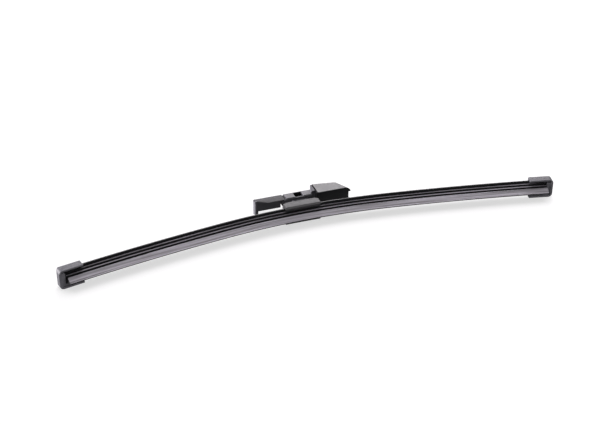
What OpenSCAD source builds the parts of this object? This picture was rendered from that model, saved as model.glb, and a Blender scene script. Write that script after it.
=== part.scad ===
// Rear window wiper blade of the flat beam kind, lying on its side.
// X runs along the blade, Y from the glass side to the arm side, Z across the blade.
// A point on the blade is given by s along the lip's curve, v up from the lip
// towards the back, and u across the blade from its middle plane.

/* [Blade] */
// Length along the lip's curve, from cap end to cap end
blade_len = 335; // [250:1:400]
// How far the connector sits left of the blade's middle
connector_offset = 2.9; // [0:0.1:10]
// Radius of the middle arc at the lip
mid_radius = 413; // [350:1:600]
// Half the length of the middle arc
mid_half = 55.7; // [40:0.1:80]
// Radius of the two outer arcs at the lip
outer_radius = 1370; // [1000:10:2000]

/* [Rubber] */
// Half thickness of the wiping lip
lip_half = 0.35; // [0.3:0.05:0.5]
// Height of the lip's straight part
lip_height = 0.9; // [0.5:0.1:1.2]
// Half width of the wedge above the lip
wedge_half = 2.2; // [1.8:0.1:2.5]
// Height of the wedge's top from the lip's edge
wedge_top = 4.6; // [4:0.1:5]
// Height of the wedge's straight shoulder
shoulder_height = 0.4; // [0.3:0.1:0.6]
// Half thickness of the tilting web
web_half = 0.4; // [0.35:0.05:0.5]
// Half width of the stop ledge
ledge_half = 2.6; // [2.2:0.1:2.9]
// Height of the ledge's lower face from the lip's edge
ledge_low = 5.4; // [5.2:0.1:5.8]
// Height of the ledge's upper face from the lip's edge
ledge_high = 7.5; // [7.2:0.1:7.6]
// Half width of the groove above the ledge
groove_half = 1.7; // [1.4:0.1:2]
// Height of the lower jaw's lower face from the lip's edge
jaw_low = 8.1; // [7.9:0.1:8.3]
// Half width of the two jaws that hold the rails
jaw_half = 3.3; // [2.8:0.1:3.6]
// Half width of the core between the rails
core_half = 1.2; // [1:0.1:1.5]
// Height of the rubber's back from the lip's edge
back_high = 11.1; // [10.9:0.1:11.2]
// Half width of the rubber's back
back_half = 2.7; // [2:0.1:3.2]

/* [Rails] */
// Thickness of a spring rail
rail_t = 0.9; // [0.7:0.05:1]
// Height of the rails' lower face from the lip's edge
rail_low = 9.07; // [8.9:0.01:9.2]
// Width of one rail
rail_w = 4.05; // [3.5:0.05:4.2]
// Depth of the notches in a rail's outer edge
notch_d = 0.9; // [0.6:0.1:1.2]
// Length of the notch that an end cap's lug enters
cap_notch_len = 3; // [2:0.1:4]
// Distance from the cap's inner end to that notch
cap_notch_at = 6.5; // [5:0.1:8]
// Length of the notch that a connector lug enters
base_notch_len = 6; // [4:0.1:8]

/* [End caps] */
// Length of an end cap
cap_len = 16; // [14:0.1:22]
// Width of an end cap
cap_w = 13.3; // [12.6:0.1:14]
// Height of the caps' back from the lip's edge
cap_back = 12.75; // [12.5:0.05:13.2]
// Height of the side walls' rim from the lip's edge
cap_rim = 6.2; // [5.8:0.1:7]
// Thickness of a cap's end wall
cap_end_t = 1.8; // [1.5:0.1:2.2]
// Height of the lips' lower face from the lip's edge
cap_lip_low = 7.7; // [7.4:0.1:8]
// Width of the lips that hold the rails
lip_w = 1; // [0.8:0.1:1.2]
// Gap between the rubber's end and the cap's end wall
rubber_gap = 2.7; // [1:0.1:3]
// Radius of a cap's long edges on its back
cap_round = 1.6; // [1:0.1:2]
// Radius of the corners between a cap's end and its sides
cap_corner = 2.8; // [1:0.1:3]
// Radius of the edge between a cap's end and its back
cap_end_round = 3; // [1:0.1:3.2]
// Height of the face of the stop inside a cap, above the lip's edge
stop_low = 7; // [6.8:0.1:7.6]
// Half width of that stop
stop_half = 3.9; // [3:0.1:4.2]

/* [Connector base] */
// Where the base's middle is along the blade
base_mid = 0.2; // [0:0.1:3]
// Length of the base
base_len = 23.4; // [20:0.1:30]
// Half width of the base
base_half = 6.5; // [6.2:0.05:6.6]
// Height of the claws' lower face from the lip's edge
claw_low = 7.5; // [7.2:0.1:7.8]
// Half width of the gap between the claws
claw_gap_half = 4.1; // [3.8:0.1:4.4]
// Radius of the claws' outer edges
claw_round = 1.2; // [0.5:0.1:2.2]
// Height at which the cheeks begin to curve in towards the ears
cheek_from = 11; // [10.6:0.1:13]
// Height of the deck between the ears
deck_top = 12.2; // [12:0.1:12.5]
// Half width across the ears
ear_half = 4.5; // [4.2:0.1:5]
// Half width of the slot between the ears
ear_gap_half = 2.9; // [2.8:0.05:3.2]
// Height of the ears' crown
ear_top = 17.5; // [17:0.1:19]
// Radius of the ears' arched top
ear_arch = 55; // [40:1:80]
// Where the crown is along the blade
crown_x = 4; // [2:0.1:6]
// How far the ears' left ends slope in from the base's end
slope_left = 3.8; // [1:0.1:4.5]
// How far the ears' right ends slope in from the base's end
slope_right = 1.6; // [1:0.1:3]
// Height at which that slope begins
slope_low = 13.2; // [12.8:0.1:14]
// Radius of the boss at the base's left end
boss_r = 1.5; // [1.2:0.1:1.8]
// Height of that boss above the lip's edge
boss_y = 12.9; // [11.8:0.1:13.5]
// Half length of that boss across the blade
boss_half = 4.7; // [4.2:0.1:6]

/* [Pivot] */
// Where the pivot is along the blade
pivot_x = 4; // [2:0.1:6]
// Height of the pivot above the lip's edge
pivot_y = 15.2; // [15.2:0.1:15.6]
// Radius of the pivot pin
pin_r = 1.5; // [1.2:0.05:1.6]
// Half length of the pivot pin
pin_half = 4.3; // [3.8:0.1:4.5]
// Radius of the adapter's eye round the pin
eye_r = 2.7; // [2.5:0.1:2.9]
// Half thickness of the rib that joins the eye to the spine
rib_half = 1.1; // [0.8:0.1:2.4]

/* [Adapter] */
// Half width of the adapter's spine and tongue
spine_half = 2.7; // [2.4:0.1:2.8]
// Height of the spine's face on the glass side
spine_front = 24.2; // [23.5:0.1:25]
// Height of the spine's face on the arm side
spine_back = 31; // [30:0.1:32]
// Left end of the tongue
tongue_end = -24.6; // [-28:0.1:-22]
// Radius of the round cross bar at the tongue's end
bar_r = 1.7; // [1.4:0.1:2]
// Half length of the cross bar
bar_half = 4.9; // [4:0.1:5.6]
// How far the cross bar's middle stands out from the tongue's end
bar_out = 1.9; // [1.5:0.1:2.5]
// Half height of the thumb rib at the cross bar
thumb_half = 5; // [4:0.1:5.6]
// Thickness of the thumb rib
thumb_t = 1.3; // [1:0.1:1.6]
// Where the thumb rib runs out into the tongue
thumb_out = -18.2; // [-20:0.1:-15]
// Left edge of the flex slot behind the tongue
slot_left = -9.7; // [-11:0.1:-8]
// Width of the flex slot
slot_w = 1.5; // [1.2:0.1:2]
// Thickness left over the flex slot
slot_skin = 1.1; // [0.9:0.1:1.4]
// Left edge of the groove beside the first tab
groove_left = -7; // [-8:0.1:-6]
// Width of that groove
groove_w = 1.2; // [0.8:0.1:1.5]
// Depth of that groove
groove_d = 0.7; // [0.5:0.1:0.9]
// Height of the two tabs over the spine
tab_h = 0.4; // [0.3:0.1:0.9]
// Inset of the tabs from the spine's edges and from the groove
tab_inset = 0.6; // [0.3:0.1:0.8]
// Length of a tab
tab_len = 5.9; // [5:0.1:6.4]
// Distance from the first tab's left end to the second's
tab_pitch = 11.9; // [11:0.1:12.5]
// Depth of the pocket between the tabs
pocket_d = 3.2; // [1:0.1:3.8]
// Wall left in front of the pocket
pocket_wall = 1.2; // [1:0.1:1.6]
// Wall left behind the pocket
pocket_back = 0.6; // [0.5:0.1:1.6]
// Right end of the spine's shoulder block
shoulder_end = 14.2; // [13:0.1:14.2]
// Length of the shoulder block at its glass side
shoulder_len = 2.6; // [2:0.1:4]
// Length of the shoulder block at its arm side
shoulder_tip = 0.8; // [0.5:0.1:1.8]
// Half height of the shoulder block
shoulder_half = 5.9; // [4.5:0.1:6.2]
// How much the shoulder block's top falls towards the tongue
shoulder_drop = 0.8; // [0.3:0.1:1.5]
// Height of the shoulder block's arm side above the lip's edge
shoulder_back = 31.5; // [30:0.1:32]

/* [Cover] */
// Left end of the cover
cover_left = 14.4; // [14.3:0.05:15]
// Right end of the cover at its glass side
cover_right = 38.4; // [36:0.1:42]
// How much shorter the cover is at its arm side
cover_slant = 4.8; // [1:0.1:5.5]
// Half width of the cover
cover_half = 5.95; // [5.8:0.05:6.5]
// Height of the cover's glass side
cover_front = 20.4; // [20:0.1:22]
// Height of the cover's arm side at its left end
cover_back = 32; // [31.8:0.1:33]
// Drop of the cover's arm side towards its right end
cover_drop = 3; // [1:0.1:4]
// Wall thickness of the cover
cover_t = 1.1; // [0.9:0.1:1.4]
// Radius of the cover's rounded right end
cover_round = 3.8; // [3:0.1:4.5]
// Depth of the recess in the cover's right end
recess_d = 1.3; // [1:0.1:1.6]
// Half width of that recess
recess_half = 2.6; // [2:0.1:3]
// Length of the ramp on the cover's left end
ramp_len = 0.8; // [0.5:0.1:2.5]
// Height of that ramp
ramp_h = 0.8; // [0.5:0.1:3.5]

/* [Fits] */
// Gap between the rubber, the rails and what grips them
rail_gap = 0.05; // [0.03:0.01:0.1]
// Gap between a moulded piece and a rail's outer edge
edge_gap = 0.15; // [0.1:0.01:0.3]
// Running gap round the pivot pin
pin_gap = 0.05; // [0.03:0.01:0.1]
// Gap between pieces that move past each other
move_gap = 0.3; // [0.2:0.05:0.4]
// Gap between the cover and the spine in its slot
cover_gap = 0.1; // [0.05:0.05:0.2]
// Gap between the rubber's end and the stop in the cap
stop_gap = 0.3; // [0.2:0.05:0.5]

/* [Hidden] */
$fn = 96;
// Overrun of a cutting solid past the face that it opens
cut = 1;
// Overlap that joins two shapes of one piece
lap = 0.05;
arc_fn = 720;
deg = 180 / PI;

s_left = -blade_len / 2 + connector_offset;
s_right = blade_len / 2 + connector_offset;
mid_turn = mid_half / mid_radius * deg;
apex_turn = cut / mid_radius * deg;

rail_high = rail_low + rail_t;
rail_in = core_half + rail_gap;
rail_out = rail_in + rail_w;
tab_x = groove_left + groove_w + tab_inset;
pocket_x = tab_x + tab_len;
pocket_len = tab_pitch - tab_len;
cheek_arc = (pow(ear_top - cheek_from, 2) + pow(base_half - ear_half, 2))
            / (2 * (base_half - ear_half));
wall_right = cover_left + ramp_len + cover_t;
plug_right = cover_right - cover_slant - cover_round;

// Turning of the curve at s, and the lip's point there
function turn(s) = let (t = abs(s)) sign(s) *
    (t <= mid_half ? t / mid_radius * deg
                   : mid_turn + (t - mid_half) / outer_radius * deg);
function lip_x(s) = let (t = abs(s)) sign(s) *
    (t <= mid_half ? mid_radius * sin(t / mid_radius * deg)
                   : mid_radius * sin(mid_turn)
                     + outer_radius * (sin(turn(t)) - sin(mid_turn)));
function lip_y(s) = let (t = abs(s))
    (t <= mid_half ? mid_radius * (cos(t / mid_radius * deg) - 1)
                   : mid_radius * (cos(mid_turn) - 1)
                     + outer_radius * (cos(turn(t)) - cos(mid_turn)));

// Corners of the whole part, for the origin at the middle of its base
cap_edge = cap_back - cap_end_round;
x_low = lip_x(s_left) + cap_edge * sin(turn(s_left))
        - cap_end_round * (1 - cos(turn(s_left)));
x_high = lip_x(s_right) + cap_edge * sin(turn(s_right))
         + cap_end_round * (1 - cos(turn(s_right)));
rubber_left = s_left + cap_end_t + rubber_gap;
rubber_right = s_right - cap_end_t - rubber_gap;
y_low = min(lip_y(rubber_left), lip_y(rubber_right));
shift = [-(x_low + x_high) / 2, -(y_low + cover_back) / 2, cap_w / 2];

// Moves from the blade's own frame to the part's frame
module placed() translate(shift) children();

// Half of a swept section, from just left of the apex to s, through its two arcs.
// Both arcs turn from their shared end face, so that the faces match exactly.
module half_along(s) {
    first = min(turn(s), mid_turn);
    translate([0, -mid_radius, 0]) {
        rotate([0, 0, 90 - first])
            rotate_extrude(angle = first + apex_turn, $fn = arc_fn)
                translate([mid_radius, 0]) children();
        if (s > mid_half)
            rotate([0, 0, -mid_turn]) translate([0, mid_radius - outer_radius, 0])
                rotate([0, 0, 90])
                    rotate_extrude(angle = mid_turn - turn(s), $fn = arc_fn)
                        translate([outer_radius, 0]) children();
    }
}

// A section, drawn with v along X and u along Y, swept from s0 to s1 past the apex
module along(s0, s1) {
    half_along(s1) children();
    mirror([1, 0, 0]) half_along(-s0) children();
}

// A section swept along the middle arc only
module along_middle(s0, s1)
    translate([0, -mid_radius, 0]) rotate([0, 0, 90 - turn(s1)])
        rotate_extrude(angle = turn(s1) - turn(s0), $fn = arc_fn)
            translate([mid_radius, 0]) children();

// Stands its children at s, with X along the curve and Y towards the back
module at(s) translate([lip_x(s), lip_y(s), 0]) rotate([0, 0, -turn(s)]) children();

module both_sides() { children(); mirror([0, 0, 1]) children(); }

// A side outline in X and Y, given a thickness across the blade about the middle
module slab(half) translate([0, 0, -half]) linear_extrude(2 * half) children();

// A box between two corners
module block(low, high) translate(low) cube(high - low);

module rubber_section() {
    half = [[lip_half, 0], [lip_half, lip_height],
            [wedge_half, wedge_top - shoulder_height], [wedge_half, wedge_top],
            [web_half, wedge_top], [web_half, ledge_low],
            [ledge_half, ledge_low], [ledge_half, ledge_high],
            [groove_half, ledge_high], [groove_half, jaw_low],
            [jaw_half, jaw_low], [jaw_half, rail_low - rail_gap],
            [core_half, rail_low - rail_gap], [core_half, rail_high + rail_gap],
            [jaw_half, rail_high + rail_gap],
            [back_half, back_high]];
    last = len(half) - 1;
    polygon(concat([for (p = half) [p[1], p[0]]],
                   [for (i = [last:-1:0]) [half[i][1], -half[i][0]]]));
}

module wiper_rubber()
    color("dimgray") placed()
        along(rubber_left, rubber_right) rubber_section();

module rail_notch(s, length)
    at(s) block([-length / 2, rail_low - cut, rail_out - notch_d],
                [length / 2, rail_high + cut, rail_out + cut]);

module spring_rail() {
    difference() {
        along(rubber_left, rubber_right)
            translate([rail_low, rail_in]) square([rail_t, rail_w]);
        rail_notch(s_left + cap_notch_at, cap_notch_len);
        rail_notch(s_right - cap_notch_at, cap_notch_len);
        rail_notch(base_mid, base_notch_len);
    }
}

module spring_rail_upper() color("black") placed() spring_rail();
module spring_rail_lower() color("black") placed() mirror([0, 0, 1]) spring_rail();

// A rectangle about the X axis with its two far or near corners rounded
module half_round(from, to, half, radius, round_far) {
    at_x = round_far ? to - radius : from + radius;
    translate([round_far ? from : from + radius, -half])
        square([to - from - radius, 2 * half]);
    translate([from, -half + radius]) square([to - from, 2 * (half - radius)]);
    for (side = [-1, 1])
        translate([at_x, side * (half - radius)]) circle(r = radius);
}

// Outline of a cap from its side, with its end's edge to the back rounded
module cap_outline() {
    translate([0, cap_rim - cut])
        square([cap_len, cap_back - cap_end_round - cap_rim + cut]);
    translate([cap_end_round, cap_rim - cut])
        square([cap_len - cap_end_round, cap_back - cap_rim + cut]);
    translate([cap_end_round, cap_back - cap_end_round]) circle(r = cap_end_round);
}

// Left cap in its own frame, with X from its outer end inwards
module cap_shape() {
    half = cap_w / 2;
    inner = rail_out + edge_gap;
    difference() {
        intersection() {
            rotate([90, 0, 90]) linear_extrude(cap_len)
                half_round(cap_rim, cap_back, half, cap_round, true);
            translate([0, cap_back + cut, 0]) rotate([90, 0, 0]) linear_extrude(cap_back)
                half_round(0, cap_len, half, cap_corner, false);
            slab(cap_w) cap_outline();
        }
        // Mouth towards the glass, between the lips that hold the rails
        block([cap_end_t, cap_rim - cut, -inner + lip_w],
              [cap_len + cut, back_high + edge_gap, inner - lip_w]);
        // Channel for the rails
        block([cap_end_t, rail_low - rail_gap, -inner],
              [cap_len + cut, rail_high + rail_gap, inner]);
        // Wider mouth below the lips
        block([cap_end_t, cap_rim - cut, -inner], [cap_len + cut, cap_lip_low, inner]);
    }
}

// Lug of a side wall that enters the rail's notch
module cap_lug()
    block([cap_notch_at - cap_notch_len / 2 + edge_gap, rail_low - rail_gap,
           rail_out - notch_d + edge_gap],
          [cap_notch_at + cap_notch_len / 2 - edge_gap, rail_high + rail_gap,
           rail_out + edge_gap + lap]);

// Stop between the cap's end wall and the rubber's end
module cap_stop()
    block([cap_end_t - lap, stop_low, -stop_half],
          [cap_end_t + rubber_gap - stop_gap, back_high + edge_gap + lap, stop_half]);

module end_cap() { cap_shape(); cap_stop(); both_sides() cap_lug(); }

module end_cap_left() color("gray") placed() at(s_left) end_cap();
module end_cap_right() color("gray") placed() at(s_right) mirror([1, 0, 0]) end_cap();

// Half of the base's section, with its cheek and its claw's outer edge as arcs
module base_half_section() difference() {
    polygon([
        [claw_low, claw_gap_half], [claw_low, base_half], [ear_top, base_half],
        [ear_top, ear_gap_half], [deck_top, ear_gap_half],
        [deck_top, -lap], [back_high + edge_gap, -lap],
        [back_high + edge_gap, jaw_half + edge_gap],
        [rail_high + rail_gap, jaw_half + edge_gap],
        [rail_high + rail_gap, rail_out + edge_gap],
        [rail_low - rail_gap, rail_out + edge_gap],
        [rail_low - rail_gap, claw_gap_half]]);
    difference() {
        translate([cheek_from, ear_gap_half])
            square([ear_top - cheek_from + cut, base_half - ear_gap_half + cut]);
        translate([cheek_from, base_half - cheek_arc]) circle(r = cheek_arc, $fn = arc_fn);
    }
    difference() {
        translate([claw_low - cut, base_half - claw_round])
            square([claw_round + cut, claw_round + cut]);
        translate([claw_low + claw_round, base_half - claw_round]) circle(r = claw_round);
    }
}

module base_section() { base_half_section(); mirror([0, 1]) base_half_section(); }

module connector_base()
    color("slategray") placed() difference() {
        union() {
            intersection() {
                along_middle(base_mid - base_len / 2, base_mid + base_len / 2) base_section();
                slab(cap_w) polygon([
                    [base_mid - base_len, 0], [base_mid + base_len, 0],
                    [base_mid + base_len, slope_low], [base_mid + base_len / 2, slope_low],
                    [base_mid + base_len / 2 - slope_right, ear_top],
                    [base_mid - base_len / 2 + slope_left, ear_top],
                    [base_mid - base_len / 2, slope_low], [base_mid - base_len, slope_low]]);
                translate([crown_x, ear_top - ear_arch, 0])
                    cylinder(r = ear_arch, h = cap_w, center = true, $fn = arc_fn);
            }
            // Lugs that enter the rails' notches
            both_sides()
                block([base_mid - base_notch_len / 2 + edge_gap, rail_low - rail_gap - lap,
                       rail_out - notch_d + edge_gap],
                      [base_mid + base_notch_len / 2 - edge_gap, rail_high + rail_gap + lap,
                       rail_out + edge_gap + lap]);
            // Boss at the left end
            both_sides()
                translate([base_mid - base_len / 2 + boss_r / 2, boss_y,
                           jaw_half + edge_gap])
                    cylinder(r = boss_r, h = boss_half - jaw_half - edge_gap);
        }
        // Seats of the pin, closed at the cheeks
        translate([pivot_x, pivot_y, 0])
            cylinder(r = pin_r, h = 2 * (pin_half + edge_gap), center = true);
    }

module pivot_pin()
    color("silver") placed() translate([pivot_x, pivot_y, 0])
        cylinder(r = pin_r, h = 2 * pin_half, center = true);

// Eye round the pin between the ears, and the rib that joins it to the spine
module pivot_eye() difference() {
    union() {
        slab(ear_gap_half - move_gap) translate([pivot_x, pivot_y]) circle(r = eye_r);
        slab(rib_half)
            polygon([[pivot_x - eye_r, pivot_y], [pivot_x + eye_r, pivot_y],
                     [pivot_x + 2 * eye_r, spine_front + lap],
                     [pivot_x - 2 * eye_r, spine_front + lap]]);
    }
    slab(ear_half) translate([pivot_x, pivot_y]) circle(r = pin_r + pin_gap);
}

module tongue_end_shape() {
    bar_x = tongue_end - bar_out;
    bar_y = spine_front + bar_r;
    translate([bar_x, bar_y, 0]) cylinder(r = bar_r, h = 2 * bar_half, center = true);
    // Neck between the cross bar and the tongue
    block([bar_x, spine_front, -spine_half],
          [tongue_end + lap, spine_front + 2 * bar_r, spine_half]);
    // Thumb rib that rises towards the cross bar
    translate([0, spine_front + thumb_t, 0]) rotate([90, 0, 0]) linear_extrude(thumb_t)
        polygon([[bar_x, 0], [bar_x, thumb_half], [thumb_out, spine_half], [thumb_out, 0]]);
}

module tab(x) block([x, spine_front + tab_inset, 0],
                    [x + tab_len, spine_back - tab_inset, spine_half + tab_h]);

// Shoulder block before the cover, wedge shaped from its side
module shoulder_block() {
    low = shoulder_end - shoulder_len;
    edge = shoulder_half - shoulder_drop;
    intersection() {
        slab(shoulder_half)
            polygon([[low, spine_front], [shoulder_end, spine_front],
                     [shoulder_end, shoulder_back],
                     [shoulder_end - shoulder_tip, shoulder_back]]);
        translate([0, shoulder_back + cut, 0]) rotate([90, 0, 0])
            linear_extrude(shoulder_back - spine_front + 2 * cut)
                polygon([[low, -edge], [shoulder_end, -shoulder_half],
                         [shoulder_end, shoulder_half], [low, edge]]);
    }
}

module adapter_body()
    color("dimgray") placed() union() {
        difference() {
            block([tongue_end, spine_front, -spine_half],
                  [wall_right - cover_gap, spine_back, spine_half]);
            // Flex slot that frees the tongue
            block([slot_left, spine_front - cut, -spine_half - cut],
                  [slot_left + slot_w, spine_back + cut, spine_half - slot_skin]);
            // Groove beside the first tab
            block([groove_left, spine_front - cut, spine_half - groove_d],
                  [groove_left + groove_w, spine_back + cut, spine_half + cut]);
            // Pocket between the tabs
            block([pocket_x, spine_front + pocket_wall, spine_half - pocket_d],
                  [pocket_x + pocket_len, spine_back - pocket_back, spine_half + cut]);
        }
        tab(tab_x);
        tab(tab_x + tab_pitch);
        tongue_end_shape();
        pivot_eye();
        shoulder_block();
        // Plug inside the cover
        block([wall_right - cover_gap - lap, spine_front, -spine_half],
              [plug_right, cover_back - cover_drop - cover_t - cover_gap, spine_half]);
    }

// Outline of the cover from the side, less a wall
module cover_outline(wall)
    polygon([[cover_left - wall, cover_front + wall], [cover_right + cut, cover_front + wall],
             [cover_right + cut, cover_back - cover_drop - wall],
             [cover_right - cover_slant, cover_back - cover_drop - wall],
             [cover_left, cover_back - wall], [cover_left - wall, cover_back - wall]]);

// Front view of the cover's two flanks, with the ramps at its left end
module cover_flanks()
    polygon([[cover_left, -cover_half + ramp_h], [cover_left + ramp_len, -cover_half],
             [cover_right + cut, -cover_half], [cover_right + cut, cover_half],
             [cover_left + ramp_len, cover_half], [cover_left, cover_half - ramp_h]]);

// Leans its children like the cover's right end, about that end's glass side
module leaned()
    translate([cover_right, cover_front, 0])
        rotate([0, 0, atan(cover_slant / (cover_back - cover_drop - cover_front))])
            children();

// The cover's rounded right end, as a bar along the lean, with X from that end
module cover_end(margin, radius) {
    half = cover_half - margin;
    leaned() translate([0, 2 * cover_back, 0]) rotate([90, 0, 0])
        linear_extrude(4 * cover_back) {
            translate([-2 * cover_right, -half])
                square([2 * cover_right - margin - radius, 2 * half]);
            translate([-margin - radius - lap, -half + radius])
                square([radius + lap, 2 * (half - radius)]);
            for (side = [-1, 1])
                translate([-margin - radius, side * (half - radius)]) circle(r = radius);
        }
}

module adapter_cover()
    color("darkgray") placed() difference() {
        intersection() {
            slab(cover_half) cover_outline(0);
            translate([0, cover_back + cut, 0]) rotate([90, 0, 0])
                linear_extrude(cover_back - cover_front + 2 * cut) cover_flanks();
            cover_end(0, cover_round);
        }
        // Hollow
        intersection() {
            slab(cover_half) cover_outline(cover_t);
            block([wall_right, cover_front, -cover_half],
                  [cover_right, cover_back, cover_half]);
            cover_end(cover_t, cover_round - cover_t);
            leaned() block([-2 * cover_right, -cover_back, -cover_half],
                           [-recess_d - cover_t, cover_back, cover_half]);
        }
        // Slot in the left wall that the spine enters
        block([cover_left - cut, spine_front - cover_gap, -spine_half - cover_gap],
              [wall_right + lap, spine_back + cover_gap, spine_half + cover_gap]);
        // Finger recess across the right end
        leaned() block([-recess_d, -cover_back, -recess_half],
                       [cover_round, cover_back, recess_half]);
    }

wiper_rubber();
spring_rail_upper();
spring_rail_lower();
end_cap_left();
end_cap_right();
connector_base();
pivot_pin();
adapter_body();
adapter_cover();
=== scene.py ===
from math import cos, pi, radians, sin

import bmesh
import bpy
import numpy as np
from bpy.props import FloatProperty, FloatVectorProperty, IntProperty, PointerProperty
from mathutils import Matrix, Vector


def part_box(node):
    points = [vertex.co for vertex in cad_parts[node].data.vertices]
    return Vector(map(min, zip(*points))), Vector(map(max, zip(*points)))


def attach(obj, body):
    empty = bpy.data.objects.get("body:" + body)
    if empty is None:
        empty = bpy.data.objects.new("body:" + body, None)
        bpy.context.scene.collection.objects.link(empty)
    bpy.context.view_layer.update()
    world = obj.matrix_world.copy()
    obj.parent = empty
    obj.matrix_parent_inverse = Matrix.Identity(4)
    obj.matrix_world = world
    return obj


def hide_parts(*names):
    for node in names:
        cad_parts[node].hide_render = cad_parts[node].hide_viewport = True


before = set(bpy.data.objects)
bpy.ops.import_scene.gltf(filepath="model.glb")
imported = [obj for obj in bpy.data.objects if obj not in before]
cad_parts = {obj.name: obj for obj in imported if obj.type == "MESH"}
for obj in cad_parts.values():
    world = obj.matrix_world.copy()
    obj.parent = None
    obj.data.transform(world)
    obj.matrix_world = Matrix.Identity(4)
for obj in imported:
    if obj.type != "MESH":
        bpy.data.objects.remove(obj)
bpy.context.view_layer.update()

bl_info = {
    "name": "Beam wiper blade",
    "version": (1, 0, 0),
    "blender": (4, 5, 0),
    "location": "3D View > Sidebar > Wiper blade",
    "description": "Dresses the packed wiper blade with rounded, finished pieces and a studio",
    "category": "Object",
}

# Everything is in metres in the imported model's frame: X along the blade, Y from the glass
# side to the arm side, Z across the blade, which lies on its side. A point on the blade is
# also given by s along the lip's curve, v from the lip towards the back and u across it.
MM = 0.001

# Points of a node that lie closer together than this are one point
SAME_POINT = 0.001 * MM
# Faces of a node that meet at less than this angle, in degrees, are one flat face
FLAT_ANGLE = 0.6
# Edges of a moulded piece over this angle, in degrees, are rounded
MOULDED_ANGLE = 30
# Edges of a swept or turned piece over this angle, in degrees, are shaded as sharp
SWEPT_ANGLE = 35

# Places of the sockets that share their name with another on the same node
VALUE_A, VALUE_B = 0, 1
MIX_SHARE, MIX_DARK, MIX_LIGHT, MIX_COLOUR = 0, 6, 7, 2

# Half of the rubber's section, in millimetres: height from the solid lip's edge, half width
RUBBER_HALF = [
    (-0.2, 0.35),   # the lip's cut edge
    (0.7, 0.35),    # the lip's straight part ends
    (4, 2),         # the wedge's flank ends
    (4.4, 2),       # the wedge's shoulder
    (4.4, 0.4),     # the tilting web begins
    (5.9, 0.4),     # the tilting web ends
    (5.9, 2.35),    # the stop ledge's lower edge
    (7.3, 2.35),    # the stop ledge's upper edge
    (7.3, 1.6),     # the groove above the ledge
    (7.85, 1.6),    # the groove's far side
    (7.85, 3.4),    # the lower jaw's outer edge
    (9.02, 3.4),    # the rail's slot, at its mouth
    (9.02, 1.2),    # the slot's floor
    (10.02, 1.2),   # the slot's floor, far side
    (10.02, 3.3),   # the upper jaw's outer edge
    (11.1, 2.7),    # the back
]


def linear(colour):
    """Linear red, green, blue and alpha of an sRGB hex colour, by the standard's two
    branches: a twelfth or so of a dark part, and a power of 2.4 of a lighter one."""
    parts = [int(colour[i:i + 2], 16) / 255 for i in (1, 3, 5)]
    return tuple(c / 12.92 if c <= 0.04045 else ((c + 0.055) / 1.055) ** 2.4
                 for c in parts) + (1.0,)


# Sizes and colours that a user may change


class BladeSizes(bpy.types.PropertyGroup):
    """The blade's curve, the pin's place on it, and how finely it is swept"""

    mid_radius: FloatProperty(
        name="Middle radius", description="Radius of the lip's middle arc",
        default=413 * MM, unit="LENGTH")
    mid_half: FloatProperty(
        name="Middle half length", description="Half the length of the middle arc",
        default=55.7 * MM, unit="LENGTH")
    outer_radius: FloatProperty(
        name="Outer radius", description="Radius of the two outer arcs",
        default=1370 * MM, unit="LENGTH")
    blade_len: FloatProperty(
        name="Length", description="Length along the lip's curve between the cap ends",
        default=335 * MM, unit="LENGTH")
    connector_offset: FloatProperty(
        name="Connector offset", description="How far the connector sits left of the middle",
        default=2.9 * MM, unit="LENGTH")
    end_gap: FloatProperty(
        name="End gap", description="From a cap's outer end to the rubber's end",
        default=4.5 * MM, unit="LENGTH")
    pin_run: FloatProperty(
        name="Pin along", description="From the lip's apex along the blade to the pin",
        default=4 * MM, unit="LENGTH")
    pin_height: FloatProperty(
        name="Pin height", description="From the lip's apex up to the pin",
        default=15.2 * MM, unit="LENGTH")
    pin_chamfer: FloatProperty(
        name="Pin chamfer", description="Size of the chamfer on the pin's ends",
        default=0.25 * MM, unit="LENGTH")
    station: FloatProperty(
        name="Station step", description="Distance between two sections of a swept piece",
        default=1.6 * MM, unit="LENGTH")
    rubber_round: FloatProperty(
        name="Rubber edges", description="Size of the rounding on the rubber's edges",
        default=0.22 * MM, unit="LENGTH")
    rail_round: FloatProperty(
        name="Rail edges", description="Size of the rounding on the rails' edges",
        default=0.2 * MM, unit="LENGTH")


class RailSizes(bpy.types.PropertyGroup):
    """The spring rails' section and notches, as the solids have them"""

    low: FloatProperty(
        name="Lower face", description="Height of a rail's face on the lip's side",
        default=9.07 * MM, unit="LENGTH")
    high: FloatProperty(
        name="Upper face", description="Height of a rail's face on the back's side",
        default=9.97 * MM, unit="LENGTH")
    inner: FloatProperty(
        name="Inner edge", description="From the middle plane to a rail's inner edge",
        default=1.25 * MM, unit="LENGTH")
    outer: FloatProperty(
        name="Outer edge", description="From the middle plane to a rail's outer edge",
        default=5.3 * MM, unit="LENGTH")
    notched: FloatProperty(
        name="Edge at a notch", description="From the middle plane to the edge at a notch",
        default=4.4 * MM, unit="LENGTH")
    cap_notch_at: FloatProperty(
        name="Cap notch", description="From the blade's end to the notch for a cap's lug",
        default=6.5 * MM, unit="LENGTH")
    cap_notch_len: FloatProperty(
        name="Cap notch length", description="Length of the notch for a cap's lug",
        default=3 * MM, unit="LENGTH")
    base_notch_at: FloatProperty(
        name="Base notch", description="From the lip's apex to the notch for the base's lug",
        default=0.2 * MM, unit="LENGTH")
    base_notch_len: FloatProperty(
        name="Base notch length", description="Length of the notch for the base's lug",
        default=6 * MM, unit="LENGTH")


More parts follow.
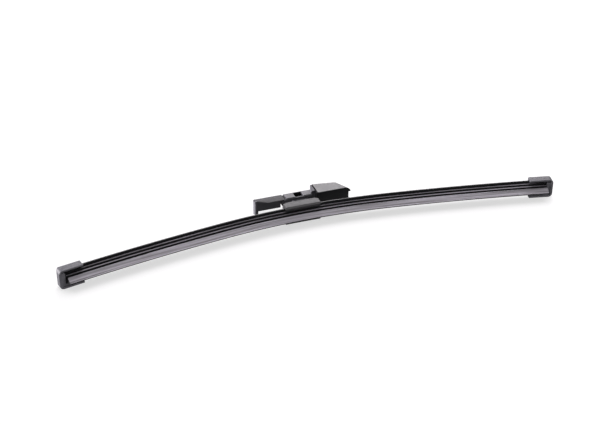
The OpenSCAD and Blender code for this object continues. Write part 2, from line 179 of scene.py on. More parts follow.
class PlasticEdges(bpy.types.PropertyGroup):
    """How far the moulded pieces' edges are rounded, and where the tabs' tops with their
    painted sheen lie
    """

    cap: FloatProperty(
        name="Caps", description="Rounding of the end caps' edges",
        default=0.35 * MM, unit="LENGTH")
    base: FloatProperty(
        name="Base", description="Rounding of the connector base's edges",
        default=0.3 * MM, unit="LENGTH")
    body: FloatProperty(
        name="Adapter", description="Rounding of the adapter body's edges",
        default=0.25 * MM, unit="LENGTH")
    cover: FloatProperty(
        name="Cover", description="Rounding of the cover's edges",
        default=0.5 * MM, unit="LENGTH")
    tab_top: FloatProperty(
        name="Tab tops", description="Height of the tabs' tops from the middle plane",
        default=3.1 * MM, unit="LENGTH")
    steps: IntProperty(
        name="Steps", description="Segments of each rounded edge", default=3, min=1, max=6)


class FinishColours(bpy.types.PropertyGroup):
    """The darkest and the lightest tone of each finish"""

    rubber_dark: FloatVectorProperty(
        name="Rubber, dark", description="Bare rubber in its lines from the die",
        default=linear("#101011"), subtype="COLOR", size=4)
    rubber_light: FloatVectorProperty(
        name="Rubber, light", description="Bare rubber where its bloom lies",
        default=linear("#1b1b1d"), subtype="COLOR", size=4)
    # The coat's two tones are partly the graphite's own grey and partly painted sheen
    coat_sheen_dark: FloatVectorProperty(
        name="Coat, dark", description="Graphite coat where it is thin, lightened by painted sheen",
        default=linear("#444246"), subtype="COLOR", size=4)
    coat_sheen_light: FloatVectorProperty(
        name="Coat, light", description="Graphite coat where it is thick, lightened by painted sheen",
        default=linear("#8a878e"), subtype="COLOR", size=4)
    rail_dark: FloatVectorProperty(
        name="Rails, dark", description="Black coat of the rails, dark tone",
        default=linear("#131315"), subtype="COLOR", size=4)
    rail_light: FloatVectorProperty(
        name="Rails, light", description="Black coat of the rails, light tone",
        default=linear("#1c1c1e"), subtype="COLOR", size=4)
    pin_dark: FloatVectorProperty(
        name="Pin, dark", description="Bare steel between the rings of the tool",
        default=linear("#8f9196"), subtype="COLOR", size=4)
    pin_light: FloatVectorProperty(
        name="Pin, light", description="Bare steel on the rings of the tool",
        default=linear("#b9bbbf"), subtype="COLOR", size=4)
    cap_dark: FloatVectorProperty(
        name="Caps, dark", description="Plastic of the end caps, dark tone",
        default=linear("#38383b"), subtype="COLOR", size=4)
    cap_light: FloatVectorProperty(
        name="Caps, light", description="Plastic of the end caps, light tone",
        default=linear("#48484b"), subtype="COLOR", size=4)
    base_dark: FloatVectorProperty(
        name="Base, dark", description="Plastic of the connector base, dark tone",
        default=linear("#171718"), subtype="COLOR", size=4)
    base_light: FloatVectorProperty(
        name="Base, light", description="Plastic of the connector base, light tone",
        default=linear("#222223"), subtype="COLOR", size=4)
    body_dark: FloatVectorProperty(
        name="Adapter, dark", description="Plastic of the adapter body, dark tone",
        default=linear("#161618"), subtype="COLOR", size=4)
    body_light: FloatVectorProperty(
        name="Adapter, light", description="Plastic of the adapter body, light tone",
        default=linear("#212123"), subtype="COLOR", size=4)
    # The tabs' two tones are lighter than the adapter's: painted sheen on the tops that look
    # up
    tab_sheen_dark: FloatVectorProperty(
        name="Tabs, dark", description="Tops of the adapter's tabs, with painted sheen, dark tone",
        default=linear("#1c1c1e"), subtype="COLOR", size=4)
    tab_sheen_light: FloatVectorProperty(
        name="Tabs, light", description="Tops of the adapter's tabs, with painted sheen, light tone",
        default=linear("#29292b"), subtype="COLOR", size=4)
    cover_dark: FloatVectorProperty(
        name="Cover, dark", description="Plastic of the cover, dark tone",
        default=linear("#1b1b1d"), subtype="COLOR", size=4)
    cover_light: FloatVectorProperty(
        name="Cover, light", description="Plastic of the cover, light tone",
        default=linear("#28282a"), subtype="COLOR", size=4)


class StudioSettings(bpy.types.PropertyGroup):
    """Floor, lights and camera"""

    lens: FloatProperty(
        name="Lens", description="Focal length on a 36 mm wide sensor",
        default=77.81, unit="CAMERA")
    eye: FloatVectorProperty(
        name="Eye", description="Camera place, measured from the lip's apex",
        default=(-0.24755, -0.66827, 0.44197), subtype="XYZ")
    azimuth: FloatProperty(
        name="Azimuth", description="Camera's turn to the left of straight on",
        default=radians(19.95397), unit="ROTATION")
    elevation: FloatProperty(
        name="Elevation", description="Camera's height angle",
        default=radians(31.49805), unit="ROTATION")
    roll: FloatProperty(
        name="Roll", description="Camera's roll",
        default=radians(0.22384), unit="ROTATION")
    floor_colour: FloatVectorProperty(
        name="Floor", description="Colour of the floor, as linear red, green and blue",
        default=(0.36, 0.36, 0.36), subtype="COLOR", size=3)
    floor_glow: FloatProperty(
        name="Floor glow", description="Strength of the floor's own white light",
        default=0.65, min=0.0)
    light_colour: FloatVectorProperty(
        name="Light", description="Colour of the softboxes, a little less green than white",
        default=(1.0, 0.965, 1.0), subtype="COLOR", size=3)
    air: FloatProperty(
        name="Air", description="Strength of the even white light from all around",
        default=0.25, min=0.0)


# Small tools for materials


def add_node(tree, kind, values=None, links=None, **settings):
    """Adds a node with its settings, socket values and links from (node, output) pairs."""
    node = tree.nodes.new(kind)
    for name, value in settings.items():
        setattr(node, name, value)
    for socket, value in (values or {}).items():
        node.inputs[socket].default_value = value
    for socket, (source, output) in (links or {}).items():
        tree.links.new(source.outputs[output], node.inputs[socket])
    return node


def new_material(name):
    """An empty material with its principled shader linked to the output."""
    material = bpy.data.materials.new(name)
    material.use_nodes = True
    tree = material.node_tree
    tree.nodes.clear()
    shader = add_node(tree, "ShaderNodeBsdfPrincipled")
    add_node(tree, "ShaderNodeOutputMaterial", links={"Surface": (shader, "BSDF")})
    return material, tree, shader


def set_shader(shader, values):
    """Sets what is the same all over a surface on the shader's own sockets."""
    for socket, value in values.items():
        shader.inputs[socket].default_value = value


def link_pattern(tree, shader, colour, gloss, bump):
    """Links a colour mix, a roughness range and a bump to the shader."""
    for socket, node, output in (("Base Color", colour, MIX_COLOUR),
                                 ("Roughness", gloss, "Result"),
                                 ("Normal", bump, "Normal")):
        tree.links.new(node.outputs[output], shader.inputs[socket])


# Materials


def moulded_plastic(name, dark, light, rough, grain_mm, grain_depth_mm, specular):
    """Injection moulded black plastic, such as ABS or acetal, from a spark eroded tool: an
    even fine grain that breaks up the gloss, and very slight cloudy changes of tone and
    gloss from the flow of the melt. The tone is the cloud plus about a third of the grain,
    and it leads colour and roughness together, while the grain alone gives the bump. The
    real grain of about 0.1 mm is drawn a few times as coarse, so that it shows."""
    cloud_mm, grain_share = 9.0, 0.35
    material, tree, shader = new_material(name)
    place = add_node(tree, "ShaderNodeTexCoord")
    cloud = add_node(tree, "ShaderNodeTexNoise",
                     {"Scale": 1 / (cloud_mm * MM), "Detail": 3.0, "Roughness": 0.55},
                     {"Vector": (place, "Object")})
    grain = add_node(tree, "ShaderNodeTexNoise",
                     {"Scale": 1 / (grain_mm * MM), "Detail": 2.0, "Roughness": 0.6},
                     {"Vector": (place, "Object")})
    mixed = add_node(tree, "ShaderNodeMath", {VALUE_B: grain_share},
                     {VALUE_A: (grain, "Fac")}, operation="MULTIPLY")
    tone = add_node(tree, "ShaderNodeMath", None,
                    {VALUE_A: (cloud, "Fac"), VALUE_B: (mixed, "Value")}, operation="ADD")
    share = add_node(tree, "ShaderNodeMapRange", {"From Min": 0.42, "From Max": 0.9},
                     {"Value": (tone, "Value")})
    colour = add_node(tree, "ShaderNodeMix", {MIX_DARK: dark, MIX_LIGHT: light},
                      {MIX_SHARE: (share, "Result")}, data_type="RGBA")
    gloss = add_node(tree, "ShaderNodeMapRange",
                     {"From Min": 0.3, "From Max": 0.9, "To Min": rough - 0.05,
                      "To Max": rough + 0.07}, {"Value": (tone, "Value")})
    bump = add_node(tree, "ShaderNodeBump",
                    {"Strength": 0.5, "Distance": grain_depth_mm * MM},
                    {"Height": (grain, "Fac")})
    link_pattern(tree, shader, colour, gloss, bump)
    set_shader(shader, {"IOR": 1.5, "Specular IOR Level": specular})
    return material


def extruded_rubber(name, dark, light, rough, line_share, specular):
    """Extruded rubber: fine lines that run along the strip from the die, and a cloudy
    bloom, mixed by the lines' share. Both follow the strip's own map, with the run along
    it in U and the way round it in V, both in metres. The lines lead the bump. They are
    really under 0.1 mm wide, and are drawn at about 1 mm, so that they show."""
    line_len, line_width = 60 * MM, 1.2 * MM
    bloom_len, bloom_width = 14 * MM, 3 * MM
    material, tree, shader = new_material(name)
    place = add_node(tree, "ShaderNodeUVMap", uv_map="run")
    stretch = add_node(tree, "ShaderNodeMapping",
                       {"Scale": (1 / line_len, 1 / line_width, 1.0)},
                       {"Vector": (place, "UV")})
    lines = add_node(tree, "ShaderNodeTexNoise",
                     {"Scale": 1.0, "Detail": 1.5, "Roughness": 0.5},
                     {"Vector": (stretch, "Vector")})
    spread = add_node(tree, "ShaderNodeMapping",
                      {"Scale": (1 / bloom_len, 1 / bloom_width, 1.0)},
                      {"Vector": (place, "UV")})
    bloom = add_node(tree, "ShaderNodeTexNoise",
                     {"Scale": 1.0, "Detail": 4.0, "Roughness": 0.6},
                     {"Vector": (spread, "Vector")})
    part = add_node(tree, "ShaderNodeMath", {VALUE_B: line_share},
                    {VALUE_A: (lines, "Fac")}, operation="MULTIPLY")
    rest = add_node(tree, "ShaderNodeMath", {VALUE_B: 1 - line_share},
                    {VALUE_A: (bloom, "Fac")}, operation="MULTIPLY")
    tone = add_node(tree, "ShaderNodeMath", None,
                    {VALUE_A: (part, "Value"), VALUE_B: (rest, "Value")}, operation="ADD")
    share = add_node(tree, "ShaderNodeMapRange", {"From Min": 0.36, "From Max": 0.64},
                     {"Value": (tone, "Value")})
    colour = add_node(tree, "ShaderNodeMix", {MIX_DARK: dark, MIX_LIGHT: light},
                      {MIX_SHARE: (share, "Result")}, data_type="RGBA")
    gloss = add_node(tree, "ShaderNodeMapRange",
                     {"From Min": 0.35, "From Max": 0.65, "To Min": rough - 0.06,
                      "To Max": rough + 0.08}, {"Value": (tone, "Value")})
    bump = add_node(tree, "ShaderNodeBump", {"Strength": 0.35, "Distance": 0.03 * MM},
                    {"Height": (lines, "Fac")})
    link_pattern(tree, shader, colour, gloss, bump)
    set_shader(shader, {"IOR": 1.52, "Specular IOR Level": specular})
    return material


def coated_steel(name, dark, light):
    """Spring steel strip with a thin black electrocoat: darker than the plastics and half
    glossy, so its edge draws one thin soft line of light, with the slight orange peel of a
    baked coat."""
    peel_mm = 0.7
    material, tree, shader = new_material(name)
    place = add_node(tree, "ShaderNodeTexCoord")
    peel = add_node(tree, "ShaderNodeTexNoise", {"Scale": 1 / (peel_mm * MM), "Detail": 2.0},
                    {"Vector": (place, "Object")})
    share = add_node(tree, "ShaderNodeMapRange", {"From Min": 0.35, "From Max": 0.7},
                     {"Value": (peel, "Fac")})
    colour = add_node(tree, "ShaderNodeMix", {MIX_DARK: dark, MIX_LIGHT: light},
                      {MIX_SHARE: (share, "Result")}, data_type="RGBA")
    gloss = add_node(tree, "ShaderNodeMapRange", {"To Min": 0.36, "To Max": 0.5},
                     {"Value": (peel, "Fac")})
    bump = add_node(tree, "ShaderNodeBump", {"Strength": 0.2, "Distance": 0.02 * MM},
                    {"Height": (peel, "Fac")})
    link_pattern(tree, shader, colour, gloss, bump)
    set_shader(shader, {"IOR": 1.55, "Specular IOR Level": 0.25})
    return material


def turned_steel(name, dark, light):
    """Bright steel pin, drawn and cut to length: a clear metal shine with fine rings round
    its axis, along Z. The rings, really finer, are drawn a quarter of a millimetre apart."""
    round_len, ring_width = 4 * MM, 0.25 * MM
    material, tree, shader = new_material(name)
    place = add_node(tree, "ShaderNodeTexCoord")
    stretch = add_node(tree, "ShaderNodeMapping",
                       {"Scale": (1 / round_len, 1 / round_len, 1 / ring_width)},
                       {"Vector": (place, "Object")})
    rings = add_node(tree, "ShaderNodeTexNoise", {"Scale": 1.0, "Detail": 2.0},
                     {"Vector": (stretch, "Vector")})
    share = add_node(tree, "ShaderNodeMapRange", {"From Min": 0.3, "From Max": 0.7},
                     {"Value": (rings, "Fac")})
    colour = add_node(tree, "ShaderNodeMix", {MIX_DARK: dark, MIX_LIGHT: light},
                      {MIX_SHARE: (share, "Result")}, data_type="RGBA")
    gloss = add_node(tree, "ShaderNodeMapRange", {"To Min": 0.22, "To Max": 0.4},
                     {"Value": (rings, "Fac")})
    bump = add_node(tree, "ShaderNodeBump", {"Strength": 0.2, "Distance": 0.01 * MM},
                    {"Height": (rings, "Fac")})
    link_pattern(tree, shader, colour, gloss, bump)
    set_shader(shader, {"Metallic": 1.0})
    return material


# Shapes


def apex(sizes):
    """The lip's apex in the model's frame: the pin's middle less its place on the blade."""
    low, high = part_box("pivot_pin")
    middle = (low + high) / 2
    return np.array([middle.x - sizes.pin_run, middle.y - sizes.pin_height, middle.z])


def blade_ends(sizes):
    """The blade's two ends, as runs along the lip's curve from its apex."""
    half = sizes.blade_len / 2
    return sizes.connector_offset - half, sizes.connector_offset + half


def on_blade(sizes, s, v, u):
    """Points at run s along the lip's curve, height v towards the back and u across.
    The curve is a middle arc met by two flatter arcs with a shared tangent. Its turn is
    the run in the middle arc over that arc's radius, plus the run beyond it over the outer
    radius. Its place is the sum of both arcs' chords, by the sines of the turns along X and
    their cosines along Y. The height v is then laid off square to the curve."""
    run, side = np.abs(s), np.sign(s)
    first = np.minimum(run, sizes.mid_half) / sizes.mid_radius
    turn = first + np.maximum(run - sizes.mid_half, 0) / sizes.outer_radius
    x = (sizes.mid_radius * np.sin(first)
         + sizes.outer_radius * (np.sin(turn) - np.sin(first)))
    y = (sizes.mid_radius * (np.cos(first) - 1)
         + sizes.outer_radius * (np.cos(turn) - np.cos(first)))
    x, turn = x * side, turn * side
    points = np.stack(np.broadcast_arrays(
        x + v * np.sin(turn), y + v * np.cos(turn), u), axis=-1)
    return points + apex(sizes)


def rounded(points, size, steps=3):
    """A closed outline with each corner replaced by a parabola: its three weights are
    (1-t)^2, 2t(1-t) and t^2, for the point that lies size before the corner, the corner and
    the point that lies size after it. Where an edge is short, size is 0.45 of that edge."""
    p = np.asarray(points, float)
    back, on = np.roll(p, 1, 0) - p, np.roll(p, -1, 0) - p
    reach = [np.minimum(size, 0.45 * np.linalg.norm(e, axis=1))[:, None] for e in (back, on)]
    a = p + back / np.linalg.norm(back, axis=1)[:, None] * reach[0]
    b = p + on / np.linalg.norm(on, axis=1)[:, None] * reach[1]
    t = np.linspace(0, 1, steps + 1)[None, :, None]
    curve = (1 - t) ** 2 * a[:, None] + 2 * t * (1 - t) * p[:, None] + t ** 2 * b[:, None]
    return curve.reshape(-1, 2)


def tube_mesh(name, grid, run):
    """A closed mesh from a grid of rings, first axis along and second round, with its
    two end rings filled. Each face joins point j and the next on ring i to the same two on
    ring i + 1. Its map has the run along in U and the way round in V, both in metres."""
    rows, cols = grid.shape[:2]
    i, j = np.meshgrid(np.arange(rows - 1), np.arange(cols), indexing="ij")
    k = (j + 1) % cols
    quads = np.stack([i * cols + j, i * cols + k, (i + 1) * cols + k, (i + 1) * cols + j],
                     axis=-1).reshape(-1, 4)
    ends = [list(range(cols))[::-1], [(rows - 1) * cols + c for c in range(cols)]]
    mesh = bpy.data.meshes.new(name)
    mesh.from_pydata(grid.reshape(-1, 3).tolist(), [], quads.tolist() + ends)
    step = np.linalg.norm(np.roll(grid[rows // 2], -1, 0) - grid[rows // 2], axis=1)
    way = np.concatenate([[0], np.cumsum(step)])
    uv = np.stack([
        np.stack([run[i], run[i], run[i + 1], run[i + 1]], -1),
        np.stack([way[j], way[j + 1], way[j + 1], way[j]], -1)], axis=-1).reshape(-1, 2)
    layer = mesh.uv_layers.new(name="run")
    full = np.zeros((len(mesh.loops), 2))
    full[:len(uv)] = uv
    layer.data.foreach_set("uv", full.ravel())
    turned_out(mesh)
    return mesh


def turned_out(mesh):
    """Points a closed mesh's faces outwards."""
    bm = bmesh.new()
    bm.from_mesh(mesh)
    bmesh.ops.recalc_face_normals(bm, faces=bm.faces)
    bm.to_mesh(mesh)
    bm.free()


def smooth_by_angle(mesh, degrees):
    """Smooth faces, with the edges that turn more than that kept sharp."""
    mesh.polygons.foreach_set("use_smooth", [True] * len(mesh.polygons))
    mesh.set_sharp_from_angle(angle=radians(degrees))


def new_piece(name, node, body, mesh, materials):
    """Links a mesh as a piece that stands for a CAD node and rides on its body."""
    piece = bpy.data.objects.new(name, mesh)
    bpy.context.scene.collection.objects.link(piece)
    mesh.materials.clear()
    for material in materials:
        mesh.materials.append(material)
    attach(piece, body)
    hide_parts(node)
    return piece


def softened(name, node, body, width, steps, materials):
    """A copy of a CAD node with its points merged and its flat faces joined, whose edges
    are rounded by a bevel of that width, as a moulding tool leaves them."""
    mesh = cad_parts[node].data.copy()
    bm = bmesh.new()
    bm.from_mesh(mesh)
    bmesh.ops.remove_doubles(bm, verts=bm.verts, dist=SAME_POINT)
    bmesh.ops.dissolve_limit(bm, angle_limit=radians(FLAT_ANGLE), verts=bm.verts,
                             edges=bm.edges)
    bm.to_mesh(mesh)
    bm.free()
    piece = new_piece(name, node, body, mesh, materials)
    bevel = piece.modifiers.new("rounded edges", "BEVEL")
    bevel.width, bevel.segments = width, steps
    bevel.limit_method, bevel.angle_limit = "ANGLE", radians(MOULDED_ANGLE)
    bevel.harden_normals = True
    smooth_by_angle(mesh, MOULDED_ANGLE)
    return piece


# Pieces


class WIPER_OT_rubber(bpy.types.Operator):
    """Makes the wiping rubber: its rounded section carried along the blade's curve"""

    bl_idname = "wiper.rubber"
    bl_label = "Wiping rubber"

    def execute(self, context):
        sizes, colours = context.scene.blade_sizes, context.scene.finish_colours
        outline = np.array(RUBBER_HALF + [(v, -u) for v, u in RUBBER_HALF[::-1]]) * MM
        section = rounded(outline, sizes.rubber_round)
        left, right = blade_ends(sizes)
        left, right = left + sizes.end_gap, right - sizes.end_gap
        run = np.linspace(left, right, int((right - left) / sizes.station) + 1)
        grid = on_blade(sizes, run[:, None], section[None, :, 0], section[None, :, 1])
        mesh = tube_mesh("wiping_rubber", grid, run)
        piece = new_piece("wiping_rubber", "wiper_rubber", "blade", mesh, [
            # Natural rubber, extruded and cured: deep black and almost matt
            extruded_rubber("moulded black rubber", colours.rubber_dark,
                            colours.rubber_light, rough=0.5, line_share=0.5, specular=0.3),
            # Graphite in a thin binder, drawn on along the strip: a dry silky grey with
            # lighter fine lines. Its light tone and lighter lines are partly the coat's own
            # grey and partly painted sheen
            extruded_rubber("graphite coated lip with painted sheen", colours.coat_sheen_dark, colours.coat_sheen_light,
                            rough=0.5, line_share=0.85, specular=0.5)])
        # The coat lies on the faces that look sideways, up and down as the blade lies: the
        # lip's flanks, the ledge and the lower jaw. The faces that look forwards, the web and
        # the groove stay bare and dark. The light coat on these faces is partly painted light:
        # it lightens the faces that look up, and lifts the lower jaw's face out of the rail's
        # shadow
        jaw_top, wedge_over, ledge_from = 9 * MM, 4.5 * MM, 2 * MM
        step = np.roll(section, -1, 0) - section
        height, across = (section + step / 2).T
        coated = (np.abs(step[:, 0]) > np.abs(step[:, 1])) & (height < jaw_top) & (
            (height < wedge_over) | (np.abs(across) > ledge_from))
        ends = [0, 0]
        mesh.polygons.foreach_set("material_index", np.concatenate(
            [np.tile(coated.astype(int), len(run) - 1), ends]))
        smooth_by_angle(mesh, SWEPT_ANGLE)
        return {"FINISHED"}


class WIPER_OT_rails(bpy.types.Operator):
    """Makes the two spring rails: a rounded strip section whose outer edge steps in
    at the notches for the caps' and the base's lugs"""

    bl_idname = "wiper.rails"
    bl_label = "Spring rails"

    def execute(self, context):
        sizes, rail = context.scene.blade_sizes, context.scene.rail_sizes
        colours = context.scene.finish_colours
        steel = coated_steel("black coated spring steel", colours.rail_dark,
                             colours.rail_light)
        left, right = blade_ends(sizes)
        notches = [(left + rail.cap_notch_at, rail.cap_notch_len),
                   (right - rail.cap_notch_at, rail.cap_notch_len),
                   (rail.base_notch_at, rail.base_notch_len)]
        run = np.linspace(left + sizes.end_gap, right - sizes.end_gap,
                          int((right - left) / sizes.station))
        # Two more stations stand just before and after each end of a notch, so it is steep
        steep = 0.01 * MM
        edges = [middle + side * length / 2 + nudge * steep
                 for middle, length in notches for side in (-1, 1) for nudge in (-1, 1)]
        run = np.sort(np.concatenate([run, edges]))
        in_notch = sum(np.abs(run - middle) < length / 2 for middle, length in notches) > 0
        whole, cut = [rounded([(rail.low, rail.inner), (rail.high, rail.inner),
                               (rail.high, edge), (rail.low, edge)], sizes.rail_round)
                      for edge in (rail.outer, rail.notched)]
        section = np.where(in_notch[:, None, None], cut, whole)
        for name, node, side in (("spring_rail_up", "spring_rail_upper", 1),
                                 ("spring_rail_down", "spring_rail_lower", -1)):
            grid = on_blade(sizes, run[:, None], section[..., 0], side * section[..., 1])
            mesh = tube_mesh(name, grid, run)
            piece = new_piece(name, node, "blade", mesh, [steel])
            smooth_by_angle(mesh, SWEPT_ANGLE)
        return {"FINISHED"}


class WIPER_OT_caps(bpy.types.Operator):
    """Makes the two end caps with rounded edges"""

    bl_idname = "wiper.caps"
    bl_label = "End caps"

    def execute(self, context):
        edges, colours = context.scene.plastic_edges, context.scene.finish_colours
        # Weathering grade ABS: dull and greyer than the rest, so that the rims and the
        # round ends show as even grey faces against the black inside
        plastic = moulded_plastic("grained cap plastic", colours.cap_dark, colours.cap_light,
                                  rough=0.55, grain_mm=0.35, grain_depth_mm=0.05,
                                  specular=0.15)
        for name, node in (("cap_left", "end_cap_left"), ("cap_right", "end_cap_right")):
            piece = softened(name, node, "blade", edges.cap, edges.steps, [plastic])
        return {"FINISHED"}


class WIPER_OT_connector(bpy.types.Operator):
    """Makes the connector base, and its pivot pin turned from a profile"""

    bl_idname = "wiper.connector"
    bl_label = "Connector base and pin"

    def execute(self, context):
        sizes, edges = context.scene.blade_sizes, context.scene.plastic_edges
        colours = context.scene.finish_colours
        # Acetal, for its low friction on the pin: black with a faint waxy sheen that
        # brightens the round cheeks
        plastic = moulded_plastic("satin base plastic", colours.base_dark,
                                  colours.base_light, rough=0.5, grain_mm=0.3,
                                  grain_depth_mm=0.03, specular=0.28)
        piece = softened("connector_grip", "connector_base", "blade", edges.base,
                         edges.steps, [plastic])

        low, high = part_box("pivot_pin")
        middle, radius, half = (low + high) / 2, (high.x - low.x) / 2, (high.z - low.z) / 2
        sides, chamfer = 48, sizes.pin_chamfer
        profile = np.array([(radius - chamfer, -half), (radius, chamfer - half),
                            (radius, half - chamfer), (radius - chamfer, half)])
        angle = np.linspace(0, 2 * pi, sides, endpoint=False)
        grid = np.stack(np.broadcast_arrays(
            middle.x + profile[:, :1] * np.cos(angle),
            middle.y + profile[:, :1] * np.sin(angle),
            middle.z + profile[:, 1:]), axis=-1)
        mesh = tube_mesh("turned_pin", grid, profile[:, 1])
        pin = new_piece("turned_pin", "pivot_pin", "blade", mesh,
                        [turned_steel("bright drawn steel", colours.pin_dark,
                                      colours.pin_light)])
        smooth_by_angle(mesh, SWEPT_ANGLE)
        return {"FINISHED"}


class WIPER_OT_adapter(bpy.types.Operator):
    """Makes the adapter body and its cover"""

    bl_idname = "wiper.adapter"
    bl_label = "Adapter and cover"

    def execute(self, context):
        edges, colours = context.scene.plastic_edges, context.scene.finish_colours
        # Acetal again, from a finely eroded tool: dark and dull, lighter only on the end
        # and the edges that face a light
        dull = moulded_plastic("satin adapter plastic", colours.body_dark, colours.body_light,
                               rough=0.52, grain_mm=0.3, grain_depth_mm=0.03, specular=0.15)
        # The same plastic on the tabs' tops, smoother and lighter: its lighter tone is painted
        # sheen, as those faces look up to the light
        sheen_tab_plastic = moulded_plastic("tab plastic with painted sheen", colours.tab_sheen_dark, colours.tab_sheen_light,
                                 rough=0.45, grain_mm=0.3, grain_depth_mm=0.02, specular=0.25)
        body = softened("adapter_spine", "adapter_body", "adapter", edges.body, edges.steps,
                        [dull, sheen_tab_plastic])
        # The faces with the painted sheen are those that look sideways at the height of the
        # tabs' tops, up and down as the blade lies
        faces = body.data.polygons
        centre, normal = np.empty(3 * len(faces)), np.empty(3 * len(faces))
        faces.foreach_get("center", centre)
        faces.foreach_get("normal", normal)
        near, sideways = 0.1 * MM, 0.9
        height = np.abs(centre[2::3] - apex(context.scene.blade_sizes)[2])
        on_top = (np.abs(height - edges.tab_top) < near) & (np.abs(normal[2::3]) > sideways)
        faces.foreach_set("material_index", on_top.astype(int))

        # ABS from a smoother tool: its flat top takes the overhead light as one pale face
        cover = softened("adapter_shell", "adapter_cover", "adapter", edges.cover,
                         edges.steps,
                         [moulded_plastic("grained cover plastic", colours.cover_dark,
                                          colours.cover_light, rough=0.4, grain_mm=0.35,
                                          grain_depth_mm=0.04, specular=0.46)])
        return {"FINISHED"}


# Studio


def photo_camera(studio, apex_place):
    """A camera that looks along its azimuth and elevation from the eye's place: its line of
    sight is (sin az cos el, cos az cos el, -sin el), and its upright is turned by the roll."""
    az, el, roll = studio.azimuth, studio.elevation, studio.roll
    ahead = Vector((sin(az) * cos(el), cos(az) * cos(el), -sin(el))).normalized()
    across = ahead.cross(Vector((0, 0, 1))).normalized()
    up = across.cross(ahead)
    right = across * cos(roll) + up * sin(roll)
    above = up * cos(roll) - across * sin(roll)
    camera = bpy.data.objects.new("photo camera", bpy.data.cameras.new("photo camera"))
    bpy.context.scene.collection.objects.link(camera)
    camera.matrix_world = Matrix.Translation(apex_place + Vector(studio.eye)) @ Matrix(
        (right, above, -ahead)).transposed().to_4x4()
    camera.data.sensor_width, camera.data.lens = 36.0, studio.lens
    camera.data.clip_start, camera.data.clip_end = 0.01, 50.0
    return camera


def pale_floor(studio):
    """Matt white board that glows a little, so it stays nearly white while the blade's
    shadow on it stays soft and grey. It is hidden from diffuse and glossy rays, because the
    light it would send up makes the black pieces' undersides pale."""
    reach = 8.0
    mesh = bpy.data.meshes.new("studio_floor")
    mesh.from_pydata([(-reach, -reach, 0), (reach, -reach, 0), (reach, reach, 0),
                      (-reach, reach, 0)], [], [(0, 1, 2, 3)])
    floor = bpy.data.objects.new("studio_floor", mesh)
    bpy.context.scene.collection.objects.link(floor)
    material, _, shader = new_material("pale floor")
    set_shader(shader, {"Base Color": (*studio.floor_colour, 1), "Roughness": 0.9,
                        "Specular IOR Level": 0.1, "Emission Color": (1, 1, 1, 1),
                        "Emission Strength": studio.floor_glow})
    mesh.materials.append(material)
    floor.visible_diffuse = floor.visible_glossy = False


def softbox(name, place, target, width, height, power, lit=None):
    """A rectangular area light at a place, facing a target. Where pieces are named, it
    lights those alone, as a flag or a snoot does, and leaves the pale floor even."""
    lamp = bpy.data.lights.new(name, "AREA")
    lamp.shape, lamp.size, lamp.size_y, lamp.energy = "RECTANGLE", width, height, power
    lamp.color = bpy.context.scene.studio_settings.light_colour
    light = bpy.data.objects.new(name, lamp)
    bpy.context.scene.collection.objects.link(light)
    light.location = place
    light.rotation_euler = (Vector(target) - Vector(place)).to_track_quat("-Z", "Y").to_euler()
    if lit:
        light.light_linking.receiver_collection = bpy.data.collections.new("lit by " + name)
        for piece in lit:
            light.light_linking.receiver_collection.objects.link(bpy.data.objects[piece])


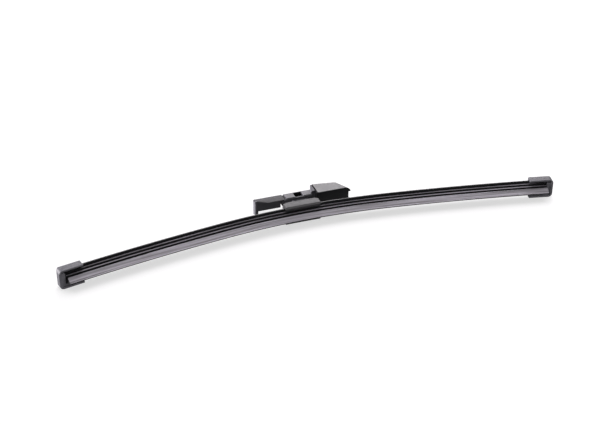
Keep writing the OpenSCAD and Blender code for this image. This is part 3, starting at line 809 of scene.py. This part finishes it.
class WIPER_OT_studio(bpy.types.Operator):
    """Makes the camera, the pale floor and the soft studio light"""

    bl_idname = "wiper.studio"
    bl_label = "Studio"

    def execute(self, context):
        studio = context.scene.studio_settings
        context.scene.camera = photo_camera(studio, Vector(apex(context.scene.blade_sizes)))
        pale_floor(studio)

        # Two large softboxes give the even light, the sheen on the faces that look up, and
        # the soft shadow towards the camera
        softbox("overhead softbox", place=(0.1, 0.25, 1.2), target=(0, 0, 0),
                width=1.8, height=1.3, power=18)
        softbox("back softbox", place=(0.55, 1.3, 0.75), target=(0.05, 0, 0),
                width=1.2, height=0.7, power=20)
        # Three small ones fill in faces that stay dark otherwise: those that look left, the
        # tongue's end, and the rims and the cheek that look forwards
        softbox("left softbox", place=(-0.92, 0.45, 0.2), target=(0, 0, 0),
                width=0.6, height=0.36, power=48,
                lit=["wiping_rubber", "spring_rail_up", "spring_rail_down", "cap_left",
                     "cap_right", "connector_grip", "turned_pin", "adapter_spine"])
        softbox("end softbox", place=(-1.0, 0.05, 0.16), target=(0, 0, 0),
                width=0.5, height=0.26, power=230, lit=["adapter_spine"])
        softbox("front softbox", place=(0.1, -0.9, 0.5), target=(0, 0, 0),
                width=0.9, height=0.5, power=13,
                lit=["cap_left", "cap_right", "connector_grip"])

        world = bpy.data.worlds.new("studio air")
        world.use_nodes = True
        air = world.node_tree.nodes["Background"].inputs
        air["Color"].default_value = (1, 1, 1, 1)
        air["Strength"].default_value = studio.air
        context.scene.world = world
        context.scene.view_settings.view_transform = "Standard"
        return {"FINISHED"}


class WIPER_PT_panel(bpy.types.Panel):
    """Lists the wiper blade's sizes, colours and pieces"""

    bl_label = "Wiper blade"
    bl_idname = "WIPER_PT_panel"
    bl_space_type = "VIEW_3D"
    bl_region_type = "UI"
    bl_category = "Wiper blade"

    def draw(self, context):
        for name, group in SETTINGS.items():
            box = self.layout.box()
            for key in group.__annotations__:
                box.prop(getattr(context.scene, name), key)
        for operator in OPERATORS:
            self.layout.operator(operator.bl_idname)


SETTINGS = {"blade_sizes": BladeSizes, "rail_sizes": RailSizes,
            "plastic_edges": PlasticEdges, "finish_colours": FinishColours,
            "studio_settings": StudioSettings}
OPERATORS = (WIPER_OT_rubber, WIPER_OT_rails, WIPER_OT_caps, WIPER_OT_connector,
             WIPER_OT_adapter, WIPER_OT_studio)
CLASSES = (*SETTINGS.values(), *OPERATORS, WIPER_PT_panel)


def register():
    """Registers every class, and gives each scene its settings."""
    for cls in CLASSES:
        bpy.utils.register_class(cls)
    for name, group in SETTINGS.items():
        setattr(bpy.types.Scene, name, PointerProperty(type=group))


def unregister():
    """Takes the settings and the classes away again, in the opposite order."""
    for name in reversed(SETTINGS):
        delattr(bpy.types.Scene, name)
    for cls in reversed(CLASSES):
        bpy.utils.unregister_class(cls)


def main():
    """Makes every piece in order.
    The studio comes last, because its lights name the pieces that they light."""
    register()
    bpy.ops.wiper.rubber()
    bpy.ops.wiper.rails()
    bpy.ops.wiper.caps()
    bpy.ops.wiper.connector()
    bpy.ops.wiper.adapter()
    bpy.ops.wiper.studio()
    bpy.context.view_layer.update()


if __name__ == "__main__":
    main()
